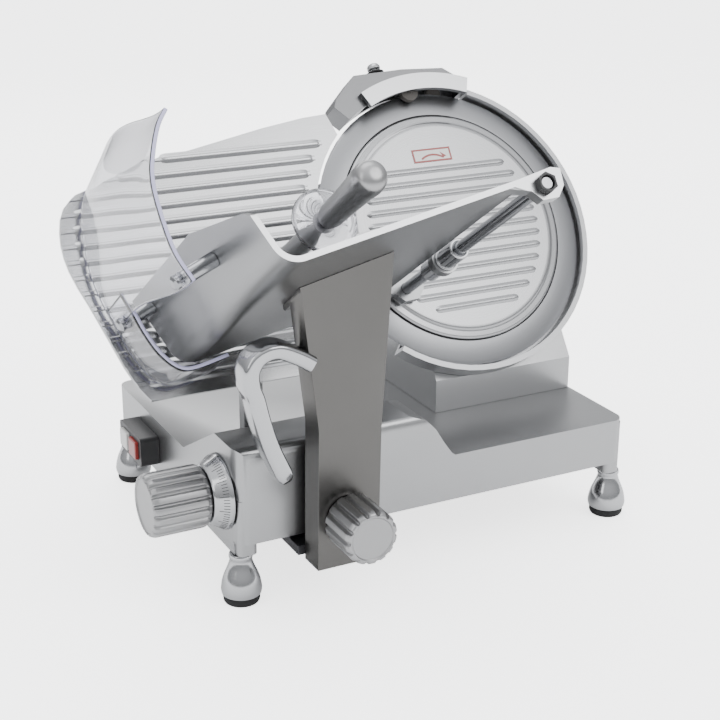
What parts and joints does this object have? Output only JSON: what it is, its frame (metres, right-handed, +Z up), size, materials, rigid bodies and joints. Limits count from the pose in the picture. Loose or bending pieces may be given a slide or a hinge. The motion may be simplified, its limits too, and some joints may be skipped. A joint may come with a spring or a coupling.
{
  "type": "deli meat slicer",
  "caption": "Gravity-feed food slicer with a tilted round blade, sliding food tray on a carriage arm, ribbed gauge plate, thickness dial, clear hand guard and sharpener.",
  "frame": {"origin": "on the table, under the middle of the machine's box", "axes": "+X is the way the food carriage slides, towards the blade; +Y to the back; +Z up. The blade leans back 33.8 degrees from upright about X"},
  "size_m": [0.5718, 0.4748, 0.4606],
  "materials": {
    "cast_aluminium": "satin anodised casting",
    "brushed_column": "coarsely brushed",
    "polished_metal": "polished",
    "steel": "bright steel",
    "dark_metal": "dark, matt",
    "blade_steel": "ground and polished",
    "black_plastic": "matt",
    "black_rubber": "matt",
    "red_plastic": "glossy",
    "white_plastic": "glossy",
    "grinding_stone": null,
    "clear_plastic": "clear acrylic with a faint violet cast"
  },
  "bodies": {
    "base": {"base_housing": "cast_aluminium", "blade_stand": "cast_aluminium", "bottom_cover": "dark_metal", "foot_bell_front_left": "polished_metal", "foot_pad_front_left": "black_rubber", "foot_bell_front_right": "polished_metal", "foot_pad_front_right": "black_rubber", "foot_bell_back_left": "polished_metal", "foot_pad_back_left": "black_rubber", "foot_bell_back_right": "polished_metal", "foot_pad_back_right": "black_rubber", "switch_box": "black_plastic", "cord_gland": "black_rubber", "blade_housing": "cast_aluminium", "front_bearing": "steel", "rear_bearing": "steel", "motor": "dark_metal", "rear_cover": "cast_aluminium", "slice_deflector": "steel", "blade_cover": "cast_aluminium", "cover_rod": "steel", "carriage_rod": "steel", "support_rail": "steel", "gauge_guide": "cast_aluminium", "gauge_rod": "steel", "drive_belt": "black_rubber", "sharpener_post": "steel"},
    "blade": {"blade": "blade_steel", "blade_shaft": "steel", "hub_pulley": "dark_metal"},
    "motor_rotor": {"motor_pulley": "dark_metal"},
    "cover_knob": {"cover_knob": "black_plastic"},
    "start_button": {"start_button": "white_plastic"},
    "stop_button": {"stop_button": "red_plastic"},
    "dial": {"dial_shaft": "steel", "dial_cam": "dark_metal", "dial_ring": "polished_metal", "thickness_knob": "cast_aluminium"},
    "gauge": {"gauge_plate": "cast_aluminium", "gauge_bracket": "cast_aluminium"},
    "carriage": {"slider_block": "dark_metal", "carriage_arm": "brushed_column", "carriage_handle": "polished_metal", "tray": "cast_aluminium", "hand_guard": "clear_plastic", "guard_bolt_inner": "steel", "guard_bolt_outer": "steel", "pusher_rod": "steel", "rod_nut": "black_plastic"},
    "roller": {"rail_roller": "white_plastic"},
    "lock_knob": {"lock_knob": "cast_aluminium"},
    "pusher_sleeve": {"pusher_sleeve": "polished_metal"},
    "pusher": {"pusher_arm": "cast_aluminium", "pusher_neck": "cast_aluminium", "disc_guard": "clear_plastic", "pusher_grip": "cast_aluminium"},
    "sharpener": {"sharpener_cover": "cast_aluminium"},
    "stone_button": {"stone_button": "polished_metal"},
    "grinding_stone": {"grinding_stone": "grinding_stone"},
    "honing_stone": {"honing_stone": "grinding_stone"}
  },
  "joints": [
    {"name": "blade_spin", "type": "hinge", "parent": "base", "child": "blade", "pos_m": [0.12746, 0.06471, 0.2829], "axis": [0, -0.8306, 0.5569], "continuous": true},
    {"name": "motor_spin", "type": "hinge", "parent": "base", "child": "motor_rotor", "pos_m": [0.12746, 0.01181, 0.20399], "axis": [0, -0.8306, 0.5569], "continuous": true},
    {"name": "cover_knob_turn", "type": "hinge", "parent": "base", "child": "cover_knob", "pos_m": [0.12746, 0.15607, 0.22164], "axis": [0, -0.8306, 0.5569], "range_deg": [0, 360]},
    {"name": "start_press", "type": "slide", "parent": "base", "child": "start_button", "axis": [1, 0, 0], "range_m": [0, 0.003], "stiffness_N_per_m": 300, "springref_m": -0.001},
    {"name": "stop_press", "type": "slide", "parent": "base", "child": "stop_button", "axis": [1, 0, 0], "range_m": [0, 0.003], "stiffness_N_per_m": 300, "springref_m": -0.001},
    {"name": "dial_turn", "type": "hinge", "parent": "base", "child": "dial", "pos_m": [-0.23725, -0.07019, 0.1025], "axis": [1, 0, 0], "range_deg": [0, 300]},
    {"name": "gauge_slide", "type": "slide", "parent": "base", "child": "gauge", "axis": [0, 0.8306, -0.5569], "range_m": [0, 0.0151]},
    {"name": "carriage_slide", "type": "slide", "parent": "base", "child": "carriage", "axis": [1, 0, 0], "range_m": [0, 0.26]},
    {"name": "roller_spin", "type": "hinge", "parent": "carriage", "child": "roller", "pos_m": [-0.10525, -0.04659, 0.0612], "axis": [0, 1, 0], "continuous": true},
    {"name": "lock_knob_turn", "type": "hinge", "parent": "carriage", "child": "lock_knob", "pos_m": [-0.10625, -0.17459, 0.092], "axis": [0, -1, 0], "range_deg": [0, 360]},
    {"name": "pusher_slide", "type": "slide", "parent": "carriage", "child": "pusher_sleeve", "axis": [0, -0.8306, 0.5569], "range_m": [-0.05, 0.13]},
    {"name": "pusher_swing", "type": "hinge", "parent": "pusher_sleeve", "child": "pusher", "pos_m": [0.04446, -0.05399, 0.28543], "axis": [0, -0.8306, 0.5569], "range_deg": [-120, 0]},
    {"name": "sharpener_lift", "type": "slide", "parent": "base", "child": "sharpener", "axis": [0, 0.5569, 0.8306], "range_m": [0, 0.03]},
    {"name": "stone_button_press", "type": "slide", "parent": "sharpener", "child": "stone_button", "axis": [0, -0.5569, -0.8306], "range_m": [0, 0.003], "stiffness_N_per_m": 200, "springref_m": -0.001},
    {"name": "grinding_stone_spin", "type": "hinge", "parent": "sharpener", "child": "grinding_stone", "pos_m": [0.15146, 0.1571, 0.40275], "axis": [0, -0.8306, 0.5569], "continuous": true},
    {"name": "honing_stone_spin", "type": "hinge", "parent": "sharpener", "child": "honing_stone", "pos_m": [0.11546, 0.14575, 0.40916], "axis": [0, -0.8306, 0.5569], "continuous": true}
  ],
  "couplings": [
    {"joint": "motor_spin", "follows": "blade_spin", "ratio": 2.2667},
    {"joint": "gauge_slide", "follows": "dial_turn", "m_per_rad": 0.0028648}
  ]
}
